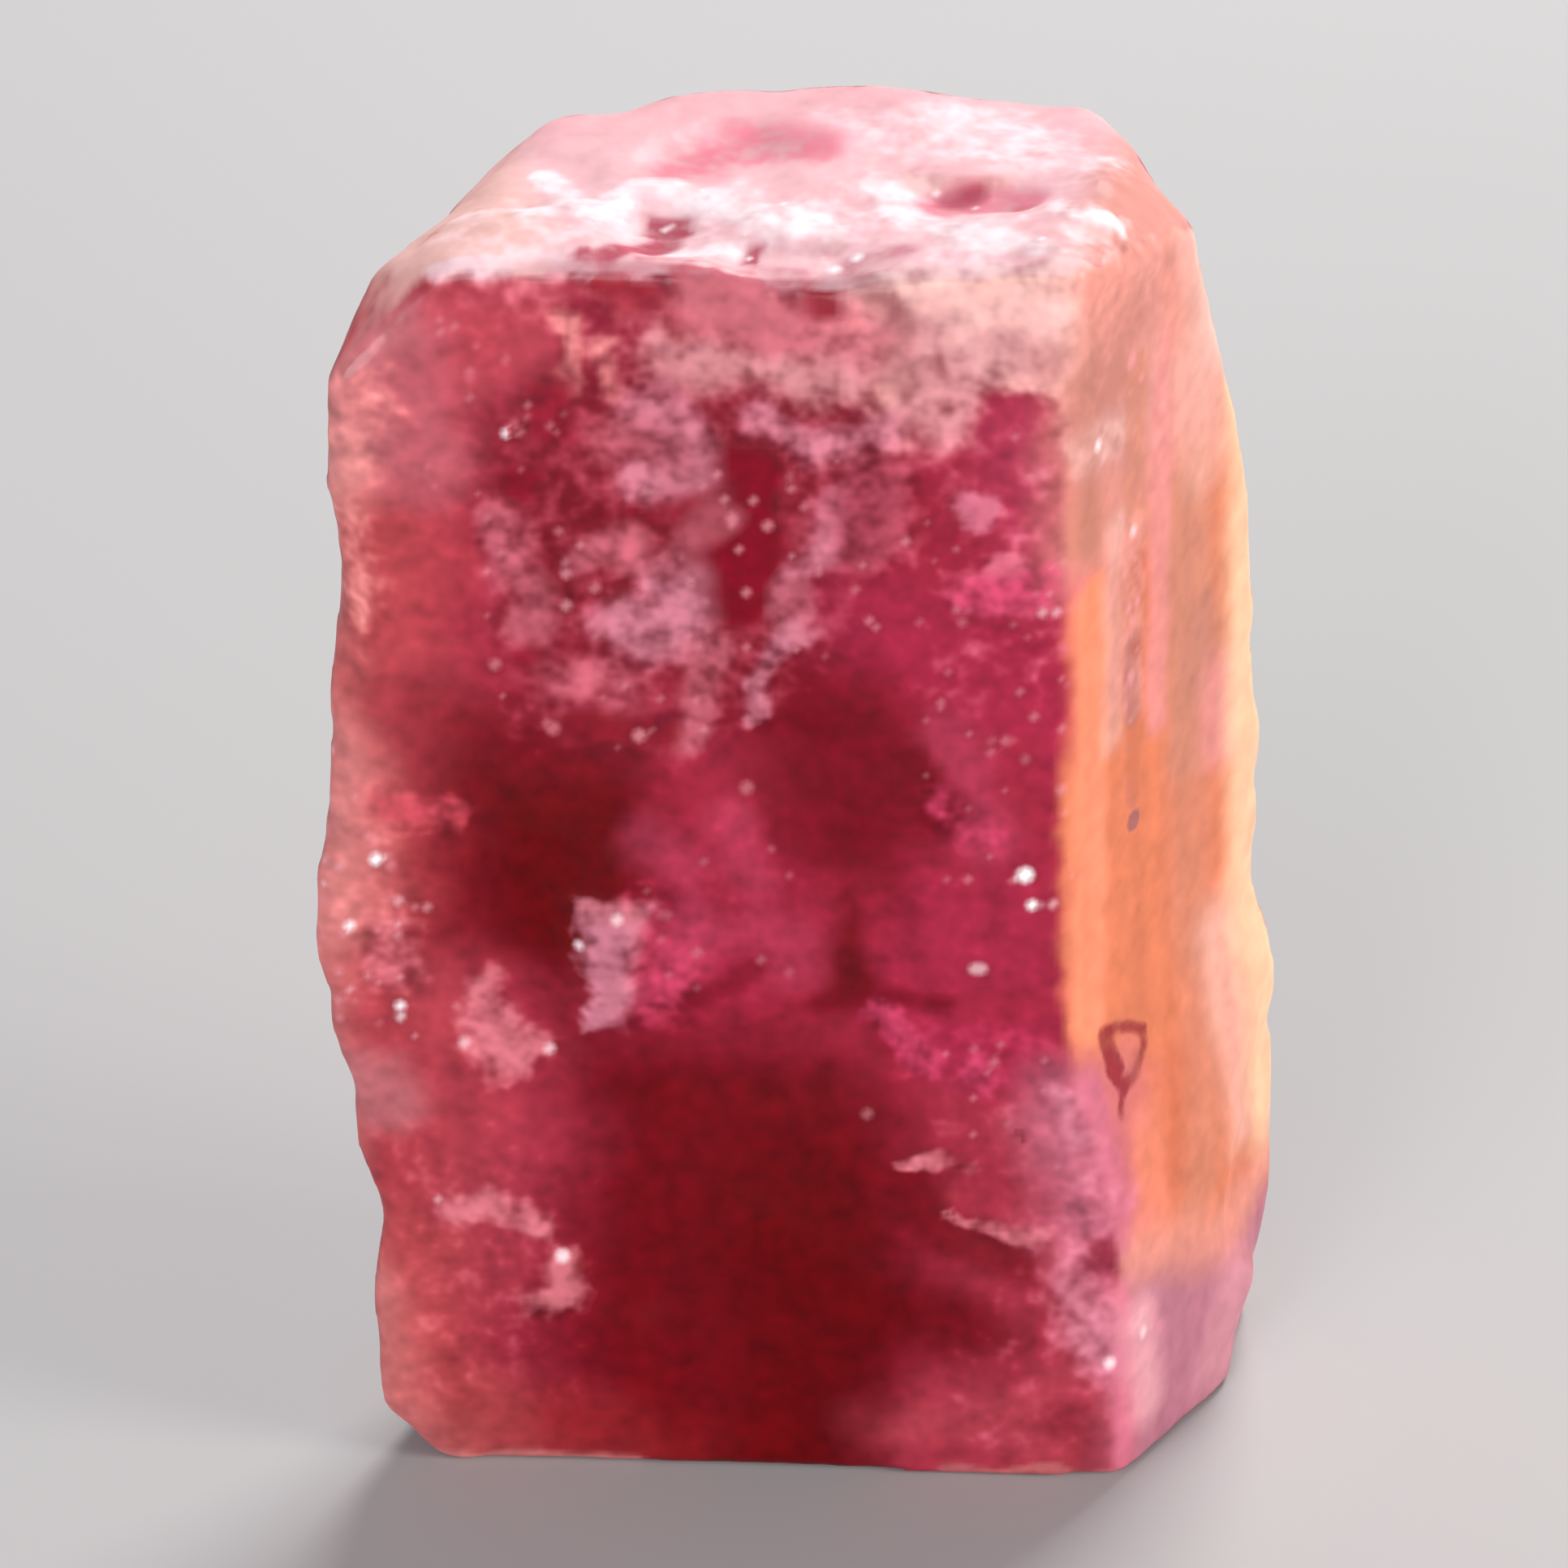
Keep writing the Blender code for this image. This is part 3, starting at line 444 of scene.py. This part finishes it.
    ("top", [(-2.24, -0.82), (-1.91, -0.74), (-1.52, -0.58)], 0.03, 0.15, WHITE, 0.9, 0.01),
    ("top", [(-1.12, -0.30), (-0.55, -0.55), (-0.08, -0.92)], 0.07, 0.2, WHITE, 1.0, 0.01),
    ("top", [(-0.94, -1.29), (-0.55, -1.14)], 0.04, 0.15, WHITE, 0.9, 0.0),
    ("top", [(-0.30, -0.66), (-0.04, -0.67), (0.26, -0.90)], 0.06, 0.2, WHITE, 0.9, 0.01),
    ("top", [(0.62, -0.15), (0.78, -0.5), (1.09, -0.9), (1.45, -1.12), (2.02, -1.39)],
     0.06, 0.18, WHITE, 1.0, 0.01),
    ("top", [(2.15, -0.69), (2.35, -0.84), (2.6, -0.79)], 0.04, 0.12, WHITE, 1.0, 0.01),
)


def and_behind(rows):
    """The rows, and after them the front's own ones again for the back."""
    return rows + tuple(("back",) + row[1:] for row in rows if row[0] == "front")


body = np.tile(RASPBERRY, (len(points), 1))
body += seen["side"][:, None] * (ORANGE - body)
body += seen["top"][:, None] * (TOP_PINK - body)
for face, path, width, soft, colour, strength in and_behind(STRETCHES):
    body += (spot(face, path, width, soft) * strength)[:, None] * (colour - body)
streaks = ripple(0.22, 31.0, (1, 1, 0.07))
body *= 1.0 + (0.10 * seen["side"] * streaks)[:, None]

veil = body.copy()
dense = np.zeros(len(points))
height = np.zeros(len(points))
for face, path, width, soft, colour, thick, raised in and_behind(VEILS):
    whole = spot(face, path, width, soft)
    here = whole * thick
    newest = here / np.maximum(here + dense * (1 - np.minimum(here, 1)), 1e-6)
    veil += newest[:, None] * (colour - veil)
    dense = np.maximum(here, here + dense * (1 - here))
    height += whole * raised
SIDE_FROST = 0.7
TOP_FROST = 0.9
VEIL_FROST = 0.6
frosted = np.maximum(SIDE_FROST * seen["side"], TOP_FROST * seen["top"])
frosted = np.maximum(frosted, VEIL_FROST * ease((dense - 0.85) / 0.3))

# The skin ripples by about a hundredth of a millimetre all over, except on the smooth side.
height += (1 - seen["side"]) * (0.006 * ripple(0.18, 44.0) + 0.012 * ripple(0.6, 15.0))
points += facing * height[:, None]
lowest, highest = (np.array(corner) / MM for corner in cad_box)
points = np.clip(points, lowest, highest)
crystal.data.vertices.foreach_set("co", (points * MM).ravel())
crystal.data.polygons.foreach_set("use_smooth", [True] * len(crystal.data.polygons))

# Single glints, each on one spot of the skin: face, across, up, radius in mm, how bright.
GLINTS = [
    ("front", 2.02, 6.14, 0.09, 1.0), ("front", 2.03, 5.84, 0.06, 1.0), ("front", 2.19, 5.84, 0.05, 0.6),
    ("front", 1.54, 5.22, 0.06, 0.65), ("front", 1.61, 5.21, 0.06, 0.65), ("front", 2.12, 8.74, 0.05, 0.6),
    ("front", 2.21, 8.76, 0.05, 0.6), ("front", -3.53, 6.16, 0.07, 1.0), ("front", -3.70, 5.51, 0.06, 0.9),
    ("front", -3.40, 4.67, 0.06, 0.9), ("front", -2.40, 10.30, 0.05, 0.8), ("front", -1.52, 5.61, 0.06, 0.7),
    ("front", -1.76, 5.37, 0.05, 0.8), ("front", -2.10, 4.20, 0.06, 0.7), ("front", -1.91, 2.16, 0.07, 0.8),
    ("front", -3.02, 2.72, 0.04, 0.6), ("front", -1.86, 9.01, 0.06, 0.5), ("front", -1.86, 8.64, 0.06, 0.5),
    ("front", -1.66, 8.82, 0.06, 0.4), ("front", -2.52, 8.05, 0.06, 0.4), ("front", -2.01, 7.54, 0.07, 0.35),
    ("front", -1.31, 7.39, 0.07, 0.5), ("front", -0.42, 6.89, 0.07, 0.35), ("front", 0.90, 9.39, 0.05, 0.4),
    ("front", -0.18, 9.47, 0.06, 0.45), ("front", -0.36, 8.92, 0.05, 0.45), ("front", -0.59, 9.59, 0.06, 0.4),
    ("front", 2.01, 7.73, 0.05, 0.4), ("front", 2.26, 7.06, 0.06, 0.4), ("front", 0.61, 3.64, 0.06, 0.3),
    ("front", 1.70, 4.28, 0.05, 0.4), ("front", 2.50, 10.17, 0.06, 0.8), ("side", 0.95, 9.00, 0.06, 0.7),
    ("side", 0.90, 8.36, 0.06, 0.5), ("side", 1.02, 8.34, 0.05, 0.5), ("side", 0.97, 8.12, 0.06, 0.4),
    ("side", 0.98, 7.60, 0.08, 0.5), ("front", 2.78, 1.20, 0.06, 0.8), ("side", 0.57, 1.38, 0.06, 0.7),
    ("side", 0.90, 10.70, 0.09, 0.5), ("top", 0.51, -1.30, 0.07, 1.0), ("top", 0.30, -1.48, 0.07, 1.0),
]

# Small soft dots scattered over parts of the skin, painted in like the glints: pink where faint, white
# painted highlights where bright. Face, outline, how many, radii and brightnesses.
SCATTERED = (
    ("front", [(-2.7, 10.8), (-1.0, 11.0), (0.7, 10.2), (0.6, 8.4), (-0.9, 7.1), (-2.6, 7.5)],
     60, 0.02, 0.05, 0.15, 0.45),
    ("front", [(-4.0, 7.2), (-3.2, 6.8), (-3.0, 5.0), (-2.6, 4.2), (-4.0, 4.4)], 36, 0.02, 0.06, 0.2, 0.7),
    ("front", [(0.8, 10.2), (2.3, 10.5), (2.3, 6.0), (1.2, 6.0)], 40, 0.02, 0.05, 0.15, 0.4),
    ("front", [(-3.2, 11.4), (-2.0, 11.4), (-2.0, 10.2), (-3.0, 9.8)], 14, 0.02, 0.05, 0.15, 0.35),
    ("front", [(0.8, 4.6), (2.3, 4.5), (2.6, 3.0), (1.4, 3.4)], 14, 0.02, 0.05, 0.2, 0.45),
    ("front", [(-1.3, 6.3), (0.0, 6.5), (0.1, 5.0), (-1.2, 4.8)], 12, 0.03, 0.06, 0.15, 0.3),
    ("side", [(0.85, 10.8), (1.1, 10.8), (1.1, 6.8), (0.85, 6.8)], 16, 0.02, 0.05, 0.2, 0.5),
    ("top", [(-2.2, -0.2), (2.2, -0.2), (2.2, -1.3), (-2.2, -1.3)], 24, 0.02, 0.05, 0.5, 1.0),
    ("back", [(-2.7, 10.8), (2.0, 10.8), (2.0, 3.0), (-2.7, 3.0)], 90, 0.02, 0.06, 0.15, 0.5),
)
chance = np.random.RandomState(5)
for face, outline, many, small, large, dim, bright in SCATTERED:
    spots = np.flatnonzero(within(face, outline) & (seen[face] > 0.9))
    for chosen in chance.choice(spots, many):
        across, up = on_face[face][chosen]
        GLINTS.append((face, across, up, chance.uniform(small, large), chance.uniform(dim, bright)))

past_glint = np.full(len(points), 1.0)
glint_bright = np.zeros(len(points))
for face, across, up, radius, bright in GLINTS:
    away = np.linalg.norm(on_face[face] - (across, up), axis=1) + 10 * (1 - seen[face])
    past = np.linalg.norm((points - points[away.argmin()]) * (1.25, 1.25, 1.1), axis=1) - radius
    glint_bright = np.where(past < past_glint, bright, glint_bright)
    past_glint = np.minimum(past_glint, past)


def keep(name, values):
    """Stores a value or a colour on every point, for the material to read."""
    if values.ndim == 1:
        layer = crystal.data.attributes.new(name, "FLOAT", "POINT")
        layer.data.foreach_set("value", values.astype(np.float32))
    else:
        layer = crystal.data.attributes.new(name, "FLOAT_COLOR", "POINT")
        solid = np.concatenate([values, np.ones((len(values), 1))], axis=1)
        layer.data.foreach_set("color", solid.astype(np.float32).ravel())


keep("body_colour", body)
keep("veil_colour", veil)
keep("dense", dense)
keep("frosted", frosted)
keep("past_glint", past_glint)
keep("glint_bright", glint_bright)


class Wire:
    """A value running through a material, that Python's own sums work on."""

    def __init__(self, tree, socket):
        self.tree = tree
        self.socket = socket

    def node(self, kind, settings=(), inputs=(), output=0):
        """A node of a kind, with its settings and with values or wires for its inputs."""
        made = self.tree.nodes.new(kind)
        for name, value in dict(settings).items():
            setattr(made, name, value)
        for name, value in dict(inputs).items():
            if isinstance(value, Wire):
                self.tree.links.new(value.socket, made.inputs[name])
            else:
                made.inputs[name].default_value = value
        return Wire(self.tree, made.outputs[output] if made.outputs else None)

    def maths(self, operation, *values):
        return self.node("ShaderNodeMath", {"operation": operation}, dict(enumerate(values)))

    def __add__(self, other):
        return self.maths("ADD", self, other)

    __radd__ = __add__

    def __mul__(self, other):
        return self.maths("MULTIPLY", self, other)

    __rmul__ = __mul__

    def __sub__(self, other):
        return self.maths("SUBTRACT", self, other)

    def __rsub__(self, other):
        return self.maths("SUBTRACT", other, self)

    def between(self, start, end):
        """0 below start and 1 above end, with a soft way between."""
        settings = {"interpolation_type": "SMOOTHSTEP"}
        return self.node("ShaderNodeMapRange", settings, {0: self, 1: start, 2: end})

    def mixed(self, first, second):
        """The first colour where this is 0 and the second where it is 1."""
        settings = {"data_type": "RGBA", "clamp_factor": True}
        return self.node("ShaderNodeMix", settings, {0: self, 6: first, 7: second}, 2)

    def scaled(self, amount):
        """This colour made lighter or darker by an amount."""
        return self.node("ShaderNodeVectorMath", {"operation": "SCALE"}, {0: self, "Scale": amount})


material = bpy.data.materials.new("red_beryl")
material.use_nodes = True
material.node_tree.nodes.clear()
wire = Wire(material.node_tree, None)
place = wire.node("ShaderNodeTexCoord", output="Object").scaled(1 / MM)


def grains(size, detail, offset):
    """Cloudy grain of a size in millimetres, from 0 to 1."""
    moved = wire.node("ShaderNodeVectorMath", {"operation": "ADD"}, {0: place, 1: offset})
    inputs = {"Vector": moved, "Scale": 1 / size, "Detail": detail, "Roughness": 0.5}
    return wire.node("ShaderNodeTexNoise", (), inputs)


def kept(name, output="Fac"):
    """What was stored on the points under a name."""
    return wire.node("ShaderNodeAttribute", {"attribute_name": name}, (), output)


FINE_GRAIN = 0.17
BROAD_GRAIN = 0.38
ragged = grains(FINE_GRAIN, 1, (4, 0, 9))
mottle = grains(BROAD_GRAIN, 2, (0, 7, 1))
thick = kept("dense")
frosted_face = kept("frosted")

# The grain mottles the skin, less so where it is frosted, and it frays the edges of the veils.
lively = (mottle - 0.5) * 1.4 + (ragged - 0.5) * 1.3
under = kept("body_colour", "Color").scaled(0.93 + lively * (0.5 + 0.4 * thick) * (1.0 - 0.8 * frosted_face))
over = kept("veil_colour", "Color").scaled(0.92 + 0.8 * lively * (1.0 - 0.7 * frosted_face))
cover = (1.2 * lively + 1.6 * thick - 1.1).between(-0.75, 0.75) * 0.92
skin = cover.mixed(under, over)

# Faint glints are pink, bright ones white, and all stand a little proud of the skin.
bright = kept("glint_bright")
glint = (0.0 - kept("past_glint")).between(-0.05, 0.05) * bright
spark = bright.between(0.45, 0.85).mixed((*SPARK, 1), (*WHITE, 1))
skin = glint.mixed(skin, spark)

frost_here = wire.maths("MAXIMUM", frosted_face, 0.6 * cover)
relief = ragged + 0.6 * cover + 1.5 * glint
bump = wire.node("ShaderNodeBump", (), {"Height": relief, "Strength": 0.2, "Distance": 0.02 * MM})

BERYL_IOR = 1.57
CLOUDED_SKIN = 0.75
CLOUDED_BY_FROST = 0.2
glass = {
    "Base Color": skin,
    "Roughness": 0.12 + 0.1 * mottle,
    "IOR": BERYL_IOR,
    "Specular IOR Level": 0.1,
    "Transmission Weight": 1.0,
    "Normal": bump,
}
clouded = {
    "Base Color": skin,
    "Roughness": 0.35 + 0.3 * frost_here,
    "IOR": BERYL_IOR,
    "Specular IOR Level": 0.03,
    "Normal": bump,
}
clear_beryl = wire.node("ShaderNodeBsdfPrincipled", (), glass)
cloudy_beryl = wire.node("ShaderNodeBsdfPrincipled", (), clouded)
cloudy = wire.maths("MAXIMUM", CLOUDED_SKIN + CLOUDED_BY_FROST * frost_here, glint)
both = wire.node("ShaderNodeMixShader", (), {0: cloudy, 1: clear_beryl, 2: cloudy_beryl})
DEPTH_COLOUR = (0.85, 0.02, 0.2, 1)
DEPTH_PER_METRE = 1600.0
depth = wire.node("ShaderNodeVolumeAbsorption", (), {"Color": DEPTH_COLOUR, "Density": DEPTH_PER_METRE})
wire.node("ShaderNodeOutputMaterial", (), {"Surface": both, "Volume": depth})

crystal.data.materials.clear()
crystal.data.materials.append(material)
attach(crystal, "root")
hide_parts("beryl_crystal")

# The floor: a plain pale board for the crystal to stand on. It is painted matt grey and isn't part
# of the crystal.

FLOOR_SIZE = 0.6
bpy.ops.mesh.primitive_plane_add(size=FLOOR_SIZE, location=(0, 0, 0))
floor = bpy.context.object
floor.name = "floor"
paint = bpy.data.materials.new("floor_paint")
paint.use_nodes = True
coat = paint.node_tree.nodes["Principled BSDF"]
coat.inputs["Base Color"].default_value = (0.42, 0.42, 0.43, 1)
coat.inputs["Roughness"].default_value = 0.8
floor.data.materials.append(paint)

# The studio's light: a dim, slightly blue surround and three round softboxes. The key stands high
# behind the crystal, and two weaker ones low in front of it and to its right.

world = bpy.data.worlds.new("studio")
bpy.context.scene.world = world
world.use_nodes = True
surround = world.node_tree.nodes["Background"]
surround.inputs["Color"].default_value = (0.9, 0.92, 1.0, 1)
surround.inputs["Strength"].default_value = 0.25


def way_out(azimuth, rise):
    """The way from the crystal out to a thing that stands round it and above it by two angles."""
    turn, tilt = math.radians(azimuth), math.radians(rise)
    return Vector((math.sin(turn) * math.cos(tilt), -math.cos(turn) * math.cos(tilt), math.sin(tilt)))


def softbox(name, azimuth, rise, distance, size, power, colour):
    """A round lamp that faces the crystal's middle."""
    lamp = bpy.data.lights.new(name, "AREA")
    lamp.shape = "DISK"
    lamp.size = size
    lamp.energy = power
    lamp.color = colour
    made = bpy.data.objects.new(name, lamp)
    bpy.context.scene.collection.objects.link(made)
    out = way_out(azimuth, rise)
    made.location = Vector((0, 0, HEIGHT * MM / 2)) + out * distance
    made.rotation_euler = out.to_track_quat("Z", "Y").to_euler()


softbox("key", 160, 42, 0.12, 0.06, 0.18, (1.0, 0.97, 0.94))
softbox("front_fill", -20, 12, 0.12, 0.07, 0.125, (1.0, 0.95, 0.95))
softbox("right", 75, 12, 0.12, 0.05, 0.125, (1.0, 0.95, 0.88))

# The camera: it stands a little to the right and looks down on the crystal from close by. Its lens
# and shift are worked out from how large and where the crystal has to show in a square view.

CAMERA_AZIMUTH = 3.0
CAMERA_RISE = 32.0
CAMERA_DISTANCE = 0.120
SENSOR_WIDTH = 36.0
PIXELS = 1932
PIXELS_PER_MM = 145.0
AIM = Vector((-0.2, -0.1, 6.0)) * MM
AIM_PIXEL_ACROSS = 960

camera = bpy.data.cameras.new("camera")
camera.sensor_width = SENSOR_WIDTH
camera.lens = SENSOR_WIDTH * CAMERA_DISTANCE / (PIXELS / PIXELS_PER_MM * MM)
camera.clip_start = 0.001
camera.shift_x = (PIXELS / 2 - AIM_PIXEL_ACROSS) / PIXELS
camera_stand = bpy.data.objects.new("camera", camera)
bpy.context.scene.collection.objects.link(camera_stand)
backwards = way_out(CAMERA_AZIMUTH, CAMERA_RISE)
camera_stand.location = AIM + backwards * CAMERA_DISTANCE
camera_stand.rotation_euler = backwards.to_track_quat("Z", "Y").to_euler()
bpy.context.scene.camera = camera_stand
bpy.context.scene.view_settings.view_transform = "Standard"
